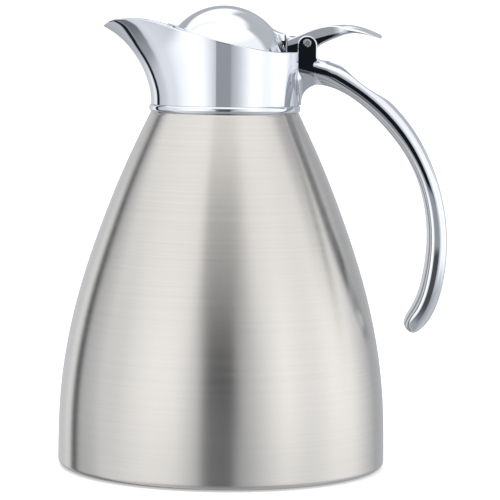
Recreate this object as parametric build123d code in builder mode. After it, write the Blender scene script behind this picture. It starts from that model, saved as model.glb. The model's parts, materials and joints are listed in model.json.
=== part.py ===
"""Vacuum coffee pot: double-walled steel vessel, chrome spout collar and handle, and a lever lid.

Frame: millimetres, +Z up, origin on the vessel's axis at the face it stands on.
The handle points to +X and the spout to -X, so the pot is the same on both sides of Y = 0.
"""

import os
from math import cos, pi, radians, sin, sqrt

from build123d import *

os.makedirs("parts", exist_ok=True)

# Vessel
BASE_RADIUS = 74.8
SHOULDER_RADIUS = 33.6
SHOULDER_Z = 162.3
CORNER_RADIUS = 2.4
SHELL_BOTTOM_Z = 0.6
SHELL_WALL = 0.8
LINER_WALL = 0.6
VACUUM_GAP = 5.7
ROLL_RADIUS = 69.5
NECK_RADIUS = 30.2
LINER_NECK_RADIUS = 28.2
LIP_Z = 171.4
LIP_THICKNESS = 0.6
LINER_FLOOR_Z = 11.0
LINER_CORNER = 8.0
LINER_FIRST = 0.1
LINER_LAST = 0.955
LINER_BEND_HEIGHT = 5.0

# Base
PAD_RADIUS = 66.0
PAD_THICKNESS = 1.4
RECESS_RADIUS = 58.0
RECESS_Z = 6.0
PORT_RADIUS = 2.0
GETTER_RADIUS = 4.0
GETTER_THICKNESS = 2.0
GETTER_X = 25.0
PLATE_Z = SHELL_BOTTOM_Z + SHELL_WALL
PLATE_EDGE = 72.0
RECESS_SLOPE = 4.0
SLOPE_SHIFT = 0.4
SEAL_HEAD_THICKNESS = 0.8
SEAL_HEAD_OVERHANG = 1.4
PAD_GROOVE_RADIUS = 58.0
PAD_GROOVE_WIDTH = 2.0
PAD_GROOVE_DEPTH = 0.5
EDGE_EASE = 0.4

# Collar
COLLAR_RADIUS = 33.5
COLLAR_WALL = 1.8
COLLAR_FOOT_Z = 164.9
RING_TOP_Z = 165.9
ROUND_TOP_Z = 174.0
POINTED_Z = 194.6
RING_INNER = 31.5
BEAD_RADIUS = 34.5
BEAD_Z = 164.0
BEAD_TOP_RADIUS = 32.9
SPOUT_TOP_Z = 205.5
SPOUT_TOP_REACH = 67.5
SPOUT_REACH = [
    (COLLAR_FOOT_Z, COLLAR_RADIUS),
    (168.6, 33.55),
    (173.4, 34.6),
    (179.1, 36.5),
    (184.7, 39.3),
    (189.8, 42.8),
    (194.6, 47.2),
    (198.0, 51.6),
    (200.5, 56.0),
    (202.7, 60.6),
    (SPOUT_TOP_Z, SPOUT_TOP_REACH),
]
RIM_CURVE = [
    (-52.1, 203.2),
    (-46.0, 204.3),
    (-37.0, 204.0),
    (-24.7, 200.9),
    (-7.2, 195.9),
    (10.2, 192.0),
    (24.0, 190.0),
    (36.0, 190.0),
]
SPOUT_TIP = (-56.0, 200.5)
ABOVE_RIM = [(36, 215), (-75, 215), (-75, 186)]

# Neck fittings
INSERT_LIP_RADIUS = 26.6
INSERT_LIP_Z = 173.0
INSERT_TOP_Z = 174.0

# Hinge
PIN_X = 37.1
PIN_Z = 194.1
PIN_RADIUS = 1.5
PIN_FIXED_GAP = 0.02
PIN_RUNNING_GAP = 0.05
EAR_OUTER = 8.0
EAR_INNER = 5.8
FORK_OUTER = 5.6
FORK_INNER = 3.8
TAIL_HALF = 3.6
WEDGE_HALF = 6.0
SPRING_GAP_HALF = 2.3
PIN_HALF_LENGTH = 7.9
PIN_FILLET = 0.35
RIVET_BORE_RADIUS = 0.55
RIVET_BORE_DEPTH = 0.8

# Spring
WIRE_RADIUS = 0.35
COIL_RADIUS = 2.6
COIL_PITCH = 0.78
COIL_TURNS = 4.25
COIL_HALF = COIL_PITCH * COIL_TURNS / 2
COIL_STEPS = 12
LID_LEG_LENGTH = 8.0
HANDLE_LEG_LENGTH = 8.4
LEG_HOLE_RADIUS = 0.5
LEG_HOLE_DEPTH = 2.5

# Lid
DOME_RADIUS = 28.5
DOME_WALL = 1.2
DOME_X = -0.5
DOME_Z = 182.0
BRIM_RADIUS = 28.8
BRIM_THICKNESS = 1.2
BRIM_SEAL_THICKNESS = 0.9
BRIM_SLOPE = 18.3
BRIM_X = 0.9
BRIM_Z = 193.2
PLUG_RADIUS = 24.0
PLUG_FLANGE_RADIUS = 24.9
SEAL_SETBACK = 0.3
PLUG_WALL = 1.8
PLUG_SHOULDER_Z = 176.8
PLUG_CORE_RADIUS = 21.5
PLUG_BOTTOM_Z = 173.6
CAP_RADIUS = 25.0
CAP_THICKNESS = 1.8
CAP_FILLET = 1.0
GASKET_RADIUS = 28.6
GASKET_CORE_RADIUS = 24.5
GASKET_LOW_Z = 174.3
GASKET_HIGH_Z = 175.5
TOWER_RADIUS = 4.6
TOWER_TOP_Z = 197.0
BOSS_RADIUS = 3.6
BOSS_BORE_DEPTH = 9.0
KNUCKLE_GAP_LENGTH = 8.0
KNUCKLE_GAP_HEIGHT = 10.0
POST_RADIUS = 1.55
POST_X = 27.95
POST_Z = 192.0
POST_LENGTH = 7.0
TAIL_PROFILE = [
    (16.0, 199.2),
    (22.6, 199.5),
    (25.3, 198.5),
    (29.4, 198.2),
    (34.5, 198.1),
    (37.1, 197.6),
    (40.4, 195.2),
    (40.5, 194.1),
    (39.5, 191.7),
    (37.1, 190.7),
    (34.9, 191.4),
    (33.8, 194.55),
    (27.2, 194.55),
    (25.6, 195.4),
    (16.0, 195.4),
]
WEDGE_PROFILE = [(18, 199.3), (22.6, 199.3), (24.9, 198.4), (26.6, 195.0), (25.4, 191.6), (18, 191.6)]

# Screws
SCREW_RADIUS = 1.95
SCREW_HEAD_RADIUS = 3.3
SCREW_HEAD_DEPTH = 1.4
SCREW_LENGTH = 8.0
HANDLE_SCREW_HEIGHTS = [178.4, 184.0]
HANDLE_SCREW_HEAD_RADIUS = 2.5
LID_SCREW_HEAD_Z = 189.6
LID_SCREW_HEAD_DEPTH = 2.0
LID_SCREW_LENGTH = 15.0
BORE_GAP = 0.05
CLEARANCE_GAP = 0.2
THROUGH = 60

# Handle: centre of the section, depth, width and corner radius, from the ears to the free end
HANDLE_STATIONS = [
    (41.5, 181.2, 11.2, 16.0, 3.6),
    (55.6, 176.4, 10.2, 16.4, 3.6),
    (67.4, 168.1, 9.8, 16.6, 3.7),
    (77.8, 157.9, 9.8, 16.8, 3.8),
    (86.3, 146.2, 9.0, 17.4, 3.8),
    (92.6, 132.9, 8.3, 18.4, 3.8),
    (96.6, 117.5, 8.35, 19.2, 3.9),
    (97.7, 103.0, 8.7, 19.4, 4.1),
    (96.4, 88.5, 9.2, 18.6, 4.3),
    (93.3, 76.4, 9.5, 17.0, 4.4),
    (90.3, 70.4, 9.5, 15.4, 4.3),
    (87.3, 66.3, 8.2, 13.4, 3.6),
    (84.9, 63.4, 5.6, 11.2, 2.4),
]
TIP_FILLET = 0.9
SCOOP_RADIUS = 66.6
SCOOP_CENTRE = (102.1, 229.1)
WEB_RADIUS = 9.4
WEB_CENTRE = (43.5, 166.0)
SADDLE_FLOOR_Z = 186.3
SADDLE_LENGTH = 16
SADDLE_HEIGHT = 16
WEB_HALF = 7.4
ROOT_X = 30.0
WEB_TOP_PROFILE = [(46.5, 185.1), (42.5, SADDLE_FLOOR_Z), (ROOT_X, SADDLE_FLOOR_Z)]
EAR_X = 37.0
EAR_Z = 192.9
EAR_RADIUS = 4.4
EAR_FOOT_PROFILE = [(32.6, 190.4), (ROOT_X, 190.4), (ROOT_X, 181.5), (43.0, 181.5), (41.4, 186.0)]

# Lever blade: centre of the section, depth, width and corner radius
LEVER_STATIONS = [
    (42.0, 197.2, 7.2, 11.2, 1.6),
    (47.5, 198.9, 5.8, 11.2, 1.6),
    (53.5, 200.2, 4.6, 12.6, 1.6),
    (59.5, 200.0, 3.5, 13.6, 1.4),
    (65.5, 198.7, 2.3, 13.2, 1.0),
    (70.6, 196.9, 1.3, 10.0, 0.55),
]

HUB_PROFILE = [
    (29.2, 192.6),
    (29.9, 194.3),
    (34.4, 197.2),
    (39.5, 199.9),
    (43.4, 201.1),
    (43.8, 194.2),
    (41.5, 191.6),
    (38.0, 190.6),
    (32.8, 191.1),
    (29.6, 191.1),
]
HUB_FILLET = 0.5
FORK_GAP_PROFILE = [
    (26.0, 188.0),
    (30.4, 188.0),
    (30.4, 194.35),
    (32.0, 194.35),
    (32.0, 188.0),
    (43.2, 188.0),
    (43.2, 204.0),
    (26.0, 204.0),
]

outline = Spline(
    (BASE_RADIUS, SHELL_BOTTOM_Z + CORNER_RADIUS),
    (74.2, 29.5),
    (70.8, 57.3),
    (64.2, 85.1),
    (55.0, 112.7),
    (44.0, 140.1),
    (SHOULDER_RADIUS, SHOULDER_Z),
    tangents=[(0, 1), (-0.478, 1)],
)


def inset_outline(inset, first, last, steps=8):
    """Points of the vessel's outline moved inwards, from one share of its length to another."""
    points = []
    for step in range(steps + 1):
        share = first + (last - first) * step / steps
        place = outline @ share
        direction = outline % share
        points.append((place.X - inset * direction.Y, place.Y + inset * direction.X))
    return points


def section_planes(stations):
    """The plane of each section of a bar: x along its depth, y across it, z along the bar."""
    centres = Spline(*[(x, 0, z) for x, z, depth, width, corner in stations])
    planes = []
    for x, z, depth, width, corner in stations:
        place = Vector(x, 0, z)
        along = centres % centres.param_at_point(place)
        planes.append(Plane(origin=place, x_dir=(-along.Z, 0, along.X), z_dir=along))
    return planes


def spout_section(height, reach, radius):
    """A round back half, and a front half that grows pointed as the spout rises."""
    rise = (height - ROUND_TOP_Z) / (POINTED_Z - ROUND_TOP_Z)
    rise = max(0, min(1, rise))
    side_pull = reach * (0.552 - 0.05 * rise)
    tip_pull = radius * (0.552 - 0.27 * rise)
    with BuildSketch(Plane.XY.offset(height)) as section:
        with BuildLine():
            ThreePointArc((0, -radius), (radius, 0), (0, radius))
            Bezier((0, radius), (-side_pull, radius), (-reach, tip_pull), (-reach, 0))
            Bezier((-reach, 0), (-reach, -tip_pull), (-side_pull, -radius), (0, -radius))
        make_face()
    return section.sketch


def ring_points(inner, outer, low, high):
    """Corners of a ring's half section."""
    return [(inner, low), (outer, low), (outer, high), (inner, high)]


# ---------------------------------------------------------------- vessel

with BuildPart() as outer_shell:
    with BuildSketch(Plane.XZ):
        with BuildLine():
            neck_outside = Line((NECK_RADIUS, LIP_Z), (NECK_RADIUS, SHOULDER_Z))
            Line(neck_outside @ 1, (SHOULDER_RADIUS, SHOULDER_Z))
            add(outline)
            corner_centre_z = SHELL_BOTTOM_Z + CORNER_RADIUS
            RadiusArc(
                (BASE_RADIUS, corner_centre_z),
                (BASE_RADIUS - CORNER_RADIUS, SHELL_BOTTOM_Z),
                CORNER_RADIUS,
            )
            Line((BASE_RADIUS - CORNER_RADIUS, SHELL_BOTTOM_Z), (ROLL_RADIUS, SHELL_BOTTOM_Z))
            Line((ROLL_RADIUS, SHELL_BOTTOM_Z), (ROLL_RADIUS, SHELL_BOTTOM_Z + SHELL_WALL))
            Line(
                (ROLL_RADIUS, SHELL_BOTTOM_Z + SHELL_WALL),
                (BASE_RADIUS - CORNER_RADIUS, SHELL_BOTTOM_Z + SHELL_WALL),
            )
            RadiusArc(
                (BASE_RADIUS - CORNER_RADIUS, SHELL_BOTTOM_Z + SHELL_WALL),
                (BASE_RADIUS - SHELL_WALL, corner_centre_z),
                -(CORNER_RADIUS - SHELL_WALL),
            )
            inside = Spline(*inset_outline(SHELL_WALL, 0, 1))
            Line(inside @ 1, (NECK_RADIUS - SHELL_WALL, (inside @ 1).Y))
            Line((NECK_RADIUS - SHELL_WALL, (inside @ 1).Y), (NECK_RADIUS - SHELL_WALL, LIP_Z))
            Line((NECK_RADIUS - SHELL_WALL, LIP_Z), neck_outside @ 0)
        make_face()
    revolve(axis=Axis.Z)
outer_shell.part.label = "outer_shell"
export_step(outer_shell.part, "parts/outer_shell.step")

with BuildPart() as inner_liner:
    with BuildSketch(Plane.XZ):
        with BuildLine():
            outside_points = inset_outline(SHELL_WALL + VACUUM_GAP, LINER_FIRST, LINER_LAST)
            inside_points = inset_outline(SHELL_WALL + VACUUM_GAP + LINER_WALL, LINER_FIRST, LINER_LAST)
            outside = Spline(*outside_points, tangents=[outline % LINER_FIRST, outline % LINER_LAST])
            inside = Spline(*inside_points, tangents=[outline % LINER_FIRST, outline % LINER_LAST])
            neck_inner = LINER_NECK_RADIUS - LINER_WALL
            bend_z = (outside @ 1).Y + LINER_BEND_HEIGHT
            Line(outside @ 1, (LINER_NECK_RADIUS, bend_z))
            Polyline(
                (LINER_NECK_RADIUS, bend_z),
                (LINER_NECK_RADIUS, LIP_Z),
                (NECK_RADIUS, LIP_Z),
                (NECK_RADIUS, LIP_Z + LIP_THICKNESS),
                (neck_inner, LIP_Z + LIP_THICKNESS),
                (neck_inner, (inside @ 1).Y + LINER_BEND_HEIGHT + CLEARANCE_GAP),
                inside @ 1,
            )
            floor_outer = Line((0, LINER_FLOOR_Z), ((outside @ 0).X - LINER_CORNER, LINER_FLOOR_Z))
            floor_inner = Line(
                (0, LINER_FLOOR_Z + LINER_WALL),
                ((outside @ 0).X - LINER_CORNER, LINER_FLOOR_Z + LINER_WALL),
            )
            Spline(floor_outer @ 1, outside @ 0, tangents=[(1, 0), outline % LINER_FIRST])
            Spline(floor_inner @ 1, inside @ 0, tangents=[(1, 0), outline % LINER_FIRST])
            Line(floor_outer @ 0, floor_inner @ 0)
        make_face()
    revolve(axis=Axis.Z)
inner_liner.part.label = "inner_liner"
export_step(inner_liner.part, "parts/inner_liner.step")

with BuildPart() as outer_bottom:
    with BuildSketch(Plane.XZ):
        with BuildLine():
            Polyline(
                (0, RECESS_Z),
                (RECESS_RADIUS, RECESS_Z),
                (RECESS_RADIUS + RECESS_SLOPE, PLATE_Z),
                (PLATE_EDGE, PLATE_Z),
                (PLATE_EDGE, PLATE_Z + SHELL_WALL),
                (RECESS_RADIUS + RECESS_SLOPE + SLOPE_SHIFT, PLATE_Z + SHELL_WALL),
                (RECESS_RADIUS + SLOPE_SHIFT, RECESS_Z + SHELL_WALL),
                (0, RECESS_Z + SHELL_WALL),
                close=True,
            )
        make_face()
    revolve(axis=Axis.Z)
    with Locations((0, 0, RECESS_Z)):
        Cylinder(PORT_RADIUS, THROUGH, mode=Mode.SUBTRACT)
outer_bottom.part.label = "outer_bottom"
export_step(outer_bottom.part, "parts/outer_bottom.step")

with BuildPart() as evacuation_seal:
    with BuildSketch(Plane.XZ):
        with BuildLine():
            Polyline(
                (0, RECESS_Z - SEAL_HEAD_THICKNESS),
                (PORT_RADIUS + SEAL_HEAD_OVERHANG, RECESS_Z - SEAL_HEAD_THICKNESS),
                (PORT_RADIUS + SEAL_HEAD_OVERHANG, RECESS_Z),
                (PORT_RADIUS - BORE_GAP, RECESS_Z),
                (PORT_RADIUS - BORE_GAP, RECESS_Z + SHELL_WALL),
                (0, RECESS_Z + SHELL_WALL),
                close=True,
            )
        make_face()
    revolve(axis=Axis.Z)
evacuation_seal.part.label = "evacuation_seal"
export_step(evacuation_seal.part, "parts/evacuation_seal.step")

with BuildPart() as getter_pellet:
    with BuildSketch(Plane.XY.offset(RECESS_Z + SHELL_WALL)):
        with Locations((GETTER_X, 0)):
            Circle(GETTER_RADIUS)
    extrude(amount=GETTER_THICKNESS)
    chamfer(getter_pellet.edges().group_by(Axis.Z)[-1], EDGE_EASE)
getter_pellet.part.label = "getter_pellet"
export_step(getter_pellet.part, "parts/getter_pellet.step")

with BuildPart() as base_pad:
    with BuildSketch():
        Circle(PAD_RADIUS)
    extrude(amount=PAD_THICKNESS)
    with BuildSketch():
        Circle(PAD_GROOVE_RADIUS)
        Circle(PAD_GROOVE_RADIUS - PAD_GROOVE_WIDTH, mode=Mode.SUBTRACT)
    extrude(amount=PAD_GROOVE_DEPTH, mode=Mode.SUBTRACT)
    fillet(base_pad.edges().group_by(Axis.Z)[0].sort_by(SortBy.LENGTH)[-1], EDGE_EASE)
base_pad.part.label = "base_pad"
export_step(base_pad.part, "parts/base_pad.step")

# ---------------------------------------------------------------- collar and neck

with BuildPart() as spout_collar:
    for height, reach in SPOUT_REACH:
        add(spout_section(height, reach, COLLAR_RADIUS))
    loft()
    for index, (height, reach) in enumerate(SPOUT_REACH):
        low_height, low_reach = SPOUT_REACH[max(index - 1, 0)]
        high_height, high_reach = SPOUT_REACH[min(index + 1, len(SPOUT_REACH) - 1)]
        slope = (high_reach - low_reach) / (high_height - low_height)
        inner_reach = reach - COLLAR_WALL * sqrt(1 + slope**2)
        add(spout_section(height, inner_reach, COLLAR_RADIUS - COLLAR_WALL))
    loft(mode=Mode.SUBTRACT)
    with BuildSketch(Plane.XZ):
        with BuildLine():
            rim = Spline(SPOUT_TIP, *RIM_CURVE)
            Polyline(rim @ 1, *ABOVE_RIM, rim @ 0)
        make_face()
    extrude(amount=THROUGH, both=True, mode=Mode.SUBTRACT)
    with BuildSketch(Plane.XZ):
        with BuildLine():
            Line((RING_INNER, SHOULDER_Z), (SHOULDER_RADIUS, SHOULDER_Z))
            bead_top = (BEAD_TOP_RADIUS, RING_TOP_Z)
            ThreePointArc((SHOULDER_RADIUS, SHOULDER_Z), (BEAD_RADIUS, BEAD_Z), bead_top)
            Polyline(bead_top, (RING_INNER, RING_TOP_Z), (RING_INNER, SHOULDER_Z))
        make_face()
    revolve(axis=Axis.Z)
    for height in HANDLE_SCREW_HEIGHTS:
        with Locations(Location((COLLAR_RADIUS, 0, height), (0, 90, 0))):
            Cylinder(SCREW_RADIUS + CLEARANCE_GAP + BORE_GAP, 8, mode=Mode.SUBTRACT)
spout_collar.part.label = "spout_collar"
export_step(spout_collar.part, "parts/spout_collar.step")

with BuildPart() as pour_insert:
    with BuildSketch(Plane.XZ):
        with BuildLine():
            Polyline(
                (NECK_RADIUS + BORE_GAP, SHOULDER_Z),
                (RING_INNER - BORE_GAP, SHOULDER_Z),
                (RING_INNER - BORE_GAP, INSERT_TOP_Z),
                (INSERT_LIP_RADIUS, INSERT_TOP_Z),
                (INSERT_LIP_RADIUS, INSERT_LIP_Z),
                (NECK_RADIUS + BORE_GAP, INSERT_LIP_Z),
                close=True,
            )
        make_face()
    revolve(axis=Axis.Z)
pour_insert.part.label = "pour_insert"
export_step(pour_insert.part, "parts/pour_insert.step")

with BuildPart() as neck_gasket:
    with BuildSketch(Plane.XZ):
        with BuildLine():
            gasket_points = ring_points(LINER_NECK_RADIUS, NECK_RADIUS, LIP_Z + LIP_THICKNESS, INSERT_LIP_Z)
            Polyline(*gasket_points, close=True)
        make_face()
    revolve(axis=Axis.Z)
neck_gasket.part.label = "neck_gasket"
export_step(neck_gasket.part, "parts/neck_gasket.step")

# ---------------------------------------------------------------- handle

with BuildPart() as handle:
    planes = section_planes(HANDLE_STATIONS)
    for plane, (x, z, depth, width, corner) in zip(planes, HANDLE_STATIONS):
        with BuildSketch(plane):
            RectangleRounded(depth, width, corner)
    loft()
    fillet(handle.faces().sort_by(Axis.Z)[0].edges(), TIP_FILLET)
    with BuildSketch(Plane.XZ):
        with BuildLine():
            web_reach = WEB_RADIUS * sin(radians(45))
            web_start = (WEB_CENTRE[0] - WEB_RADIUS, WEB_CENTRE[1])
            web_middle = (WEB_CENTRE[0] - web_reach, WEB_CENTRE[1] + web_reach)
            web_end = (WEB_CENTRE[0], WEB_CENTRE[1] + WEB_RADIUS)
            ThreePointArc(web_start, web_middle, web_end)
            Polyline(web_end, *WEB_TOP_PROFILE, (ROOT_X, WEB_CENTRE[1]), web_start)
        make_face()
    extrude(amount=WEB_HALF, both=True)
    with BuildSketch(Plane.XZ):
        with BuildLine():
            ear_left = (EAR_X - EAR_RADIUS, EAR_Z)
            ear_right = (EAR_X + EAR_RADIUS, EAR_Z)
            ThreePointArc(ear_left, (EAR_X, EAR_Z + EAR_RADIUS), ear_right)
            Polyline(ear_left, *EAR_FOOT_PROFILE, ear_right)
        make_face()
    extrude(amount=EAR_OUTER, both=True)
    with Locations((PIN_X, 0, SADDLE_FLOOR_Z + SADDLE_HEIGHT / 2)):
        Box(SADDLE_LENGTH, 2 * EAR_INNER, SADDLE_HEIGHT, mode=Mode.SUBTRACT)
    with Locations((0, 0, SADDLE_FLOOR_Z)):
        Cylinder(COLLAR_RADIUS + BORE_GAP, 2 * THROUGH, mode=Mode.SUBTRACT)
    with BuildSketch(Plane.XZ):
        with Locations(SCOOP_CENTRE):
            Circle(SCOOP_RADIUS)
    extrude(amount=THROUGH, both=True, mode=Mode.SUBTRACT)
    with Locations(Location((PIN_X, 0, PIN_Z), (90, 0, 0))):
        Cylinder(PIN_RADIUS + PIN_FIXED_GAP, THROUGH, mode=Mode.SUBTRACT)
    for height in HANDLE_SCREW_HEIGHTS:
        with Locations(Location((COLLAR_RADIUS, 0, height), (0, 90, 0))):
            Cylinder(SCREW_RADIUS + BORE_GAP, 2 * SCREW_LENGTH, mode=Mode.SUBTRACT)
    with Locations((PIN_X + COIL_RADIUS, -COIL_HALF, SADDLE_FLOOR_Z)):
        Cylinder(LEG_HOLE_RADIUS, 2 * LEG_HOLE_DEPTH, mode=Mode.SUBTRACT)
handle.part.label = "handle"
export_step(handle.part, "parts/handle.step")

with BuildPart() as handle_screws:
    for height in HANDLE_SCREW_HEIGHTS:
        head_x = COLLAR_RADIUS - COLLAR_WALL - CLEARANCE_GAP
        head_face = Plane(origin=(head_x, 0, height), z_dir=(1, 0, 0))
        with BuildSketch(head_face):
            Circle(SCREW_RADIUS)
        extrude(amount=SCREW_LENGTH)
        with BuildSketch(head_face):
            Circle(HANDLE_SCREW_HEAD_RADIUS)
        extrude(amount=-SCREW_HEAD_DEPTH)
handle_screws.part.label = "handle_screws"
export_step(handle_screws.part, "parts/handle_screws.step")

with BuildPart() as hinge_pin:
    with BuildSketch(Plane.XZ):
        with Locations((PIN_X, PIN_Z)):
            Circle(PIN_RADIUS)
    extrude(amount=PIN_HALF_LENGTH, both=True)
    fillet(hinge_pin.edges().filter_by(GeomType.CIRCLE), PIN_FILLET)
    with BuildSketch(Plane.XZ.offset(PIN_HALF_LENGTH), Plane.XZ.offset(-PIN_HALF_LENGTH)):
        with Locations((PIN_X, PIN_Z)):
            Circle(RIVET_BORE_RADIUS)
    extrude(amount=RIVET_BORE_DEPTH, both=True, mode=Mode.SUBTRACT)
hinge_pin.part.label = "hinge_pin"
export_step(hinge_pin.part, "parts/hinge_pin.step")

coil_points = []
for step in range(int(COIL_TURNS * COIL_STEPS) + 1):
    angle = 2 * pi * step / COIL_STEPS
    coil_x = PIN_X + COIL_RADIUS * sin(angle)
    coil_z = PIN_Z + COIL_RADIUS * cos(angle)
    coil_points.append((coil_x, COIL_HALF - COIL_PITCH * step / COIL_STEPS, coil_z))

with BuildPart() as lid_spring:
    with BuildLine() as wire:
        lid_leg = Line((PIN_X - LID_LEG_LENGTH, COIL_HALF, PIN_Z + COIL_RADIUS), coil_points[0])
        Spline(*coil_points, tangents=[(1, 0, 0), (0, 0, -1)], tangent_scalars=[1, 1])
        Line(coil_points[-1], (PIN_X + COIL_RADIUS, -COIL_HALF, PIN_Z - HANDLE_LEG_LENGTH))
    with BuildSketch(Plane(origin=lid_leg @ 0, z_dir=(1, 0, 0))):
        Circle(WIRE_RADIUS)
    sweep(path=wire.wires()[0])
lid_spring.part.label = "lid_spring"
export_step(lid_spring.part, "parts/lid_spring.step")

# ---------------------------------------------------------------- lever

with BuildPart() as lever:
    planes = section_planes(LEVER_STATIONS)
    for plane, (x, z, depth, width, corner) in zip(planes, LEVER_STATIONS):
        with BuildSketch(plane):
            RectangleRounded(depth, width, corner)
    loft()
    with BuildSketch(Plane.XZ) as hub:
        with BuildLine():
            Polyline(*HUB_PROFILE, close=True)
        make_face()
        fillet(hub.vertices(), HUB_FILLET)
    extrude(amount=FORK_OUTER, both=True)
    with BuildSketch(Plane.XZ):
        with BuildLine():
            Polyline(*FORK_GAP_PROFILE, close=True)
        make_face()
    extrude(amount=FORK_INNER, both=True, mode=Mode.SUBTRACT)
    with Locations(Location((PIN_X, 0, PIN_Z), (90, 0, 0))):
        Cylinder(PIN_RADIUS + PIN_RUNNING_GAP, THROUGH, mode=Mode.SUBTRACT)
lever.part.label = "lever"
export_step(lever.part, "parts/lever.step")

# ---------------------------------------------------------------- lid

brim_plane = Plane(
    origin=(BRIM_X, 0, BRIM_Z),
    x_dir=(cos(radians(BRIM_SLOPE)), 0, -sin(radians(BRIM_SLOPE))),
    z_dir=(sin(radians(BRIM_SLOPE)), 0, cos(radians(BRIM_SLOPE))),
)

with BuildPart() as lid_dome:
    with Locations((DOME_X, 0, DOME_Z)):
        Sphere(DOME_RADIUS)
    split(bisect_by=brim_plane, keep=Keep.TOP)
    with BuildSketch(brim_plane):
        Circle(BRIM_RADIUS)
    extrude(amount=-BRIM_THICKNESS)
    with BuildSketch(Plane.XZ):
        with BuildLine():
            Polyline(*TAIL_PROFILE, close=True)
        make_face()
    extrude(amount=TAIL_HALF, both=True)
    with BuildSketch(Plane.XZ):
        with BuildLine():
            Polyline(*WEDGE_PROFILE, close=True)
        make_face()
    extrude(amount=WEDGE_HALF, both=True)
    with Locations((POST_X, 0, POST_Z)):
        Cylinder(POST_RADIUS, POST_LENGTH)
    with Locations((DOME_X, 0, DOME_Z)):
        Sphere(DOME_RADIUS - DOME_WALL, mode=Mode.SUBTRACT)
    with BuildSketch(Plane.XY.offset(TOWER_TOP_Z)):
        with Locations((DOME_X, 0)):
            Circle(BOSS_RADIUS)
    extrude(amount=DOME_Z + DOME_RADIUS - DOME_WALL / 2 - TOWER_TOP_Z)
    with BuildSketch(Plane.XY.offset(TOWER_TOP_Z)):
        with Locations((DOME_X, 0)):
            Circle(SCREW_RADIUS + BORE_GAP)
    extrude(amount=BOSS_BORE_DEPTH, mode=Mode.SUBTRACT)
    with Locations((PIN_X, 0, PIN_Z)):
        Box(KNUCKLE_GAP_LENGTH, 2 * SPRING_GAP_HALF, KNUCKLE_GAP_HEIGHT, mode=Mode.SUBTRACT)
    with Locations(Location((PIN_X, 0, PIN_Z), (90, 0, 0))):
        Cylinder(PIN_RADIUS + PIN_RUNNING_GAP, THROUGH, mode=Mode.SUBTRACT)
    with Locations(Location((PIN_X - LID_LEG_LENGTH / 2 - 2, COIL_HALF, PIN_Z + COIL_RADIUS), (0, 90, 0))):
        Cylinder(LEG_HOLE_RADIUS, LID_LEG_LENGTH, mode=Mode.SUBTRACT)
lid_dome.part.label = "lid_dome"
export_step(lid_dome.part, "parts/lid_dome.step")

with BuildPart() as brim_seal:
    with BuildSketch(brim_plane.offset(-BRIM_THICKNESS)):
        Circle(BRIM_RADIUS - SEAL_SETBACK)
        Circle(PLUG_FLANGE_RADIUS + BORE_GAP, mode=Mode.SUBTRACT)
    extrude(amount=-BRIM_SEAL_THICKNESS)
brim_seal.part.label = "brim_seal"
export_step(brim_seal.part, "parts/brim_seal.step")

with BuildPart() as lid_plug:
    with BuildSketch(Plane.XY.offset(PLUG_SHOULDER_Z)):
        Circle(PLUG_RADIUS)
    extrude(amount=THROUGH)
    split(bisect_by=brim_plane.offset(-BRIM_THICKNESS - BRIM_SEAL_THICKNESS), keep=Keep.BOTTOM)
    with BuildSketch(brim_plane.offset(-BRIM_THICKNESS)):
        Circle(PLUG_FLANGE_RADIUS)
    extrude(amount=-BRIM_SEAL_THICKNESS)
    with BuildSketch(Plane.XY.offset(PLUG_SHOULDER_Z + PLUG_WALL)):
        Circle(PLUG_RADIUS - PLUG_WALL)
    extrude(amount=THROUGH, mode=Mode.SUBTRACT)
    with BuildSketch(Plane.XY.offset(PLUG_SHOULDER_Z)):
        Circle(PLUG_CORE_RADIUS)
    extrude(amount=PLUG_BOTTOM_Z - PLUG_SHOULDER_Z)
    with BuildSketch(Plane.XY.offset(PLUG_BOTTOM_Z)):
        with Locations((DOME_X, 0)):
            Circle(TOWER_RADIUS)
    extrude(amount=TOWER_TOP_Z - PLUG_BOTTOM_Z)
    with BuildSketch(Plane.XY.offset(PLUG_BOTTOM_Z)):
        with Locations((DOME_X, 0)):
            Circle(SCREW_RADIUS + CLEARANCE_GAP)
    extrude(amount=THROUGH, mode=Mode.SUBTRACT)
    with BuildSketch(Plane.XY.offset(PLUG_BOTTOM_Z)):
        with Locations((DOME_X, 0)):
            Circle(SCREW_HEAD_RADIUS + CLEARANCE_GAP)
    extrude(amount=LID_SCREW_HEAD_Z - PLUG_BOTTOM_Z, mode=Mode.SUBTRACT)
lid_plug.part.label = "lid_plug"
export_step(lid_plug.part, "parts/lid_plug.step")

with BuildPart() as lid_screw:
    with BuildSketch(Plane.XY.offset(LID_SCREW_HEAD_Z)):
        with Locations((DOME_X, 0)):
            Circle(SCREW_HEAD_RADIUS)
    extrude(amount=-LID_SCREW_HEAD_DEPTH)
    with BuildSketch(Plane.XY.offset(LID_SCREW_HEAD_Z)):
        with Locations((DOME_X, 0)):
            Circle(SCREW_RADIUS)
    extrude(amount=LID_SCREW_LENGTH)
lid_screw.part.label = "lid_screw"
export_step(lid_screw.part, "parts/lid_screw.step")

with BuildPart() as plug_cap:
    with BuildSketch(Plane.XY.offset(PLUG_BOTTOM_Z)):
        Circle(CAP_RADIUS)
    extrude(amount=-CAP_THICKNESS)
    fillet(plug_cap.edges().group_by(Axis.Z)[0], CAP_FILLET)
plug_cap.part.label = "plug_cap"
export_step(plug_cap.part, "parts/plug_cap.step")

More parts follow.
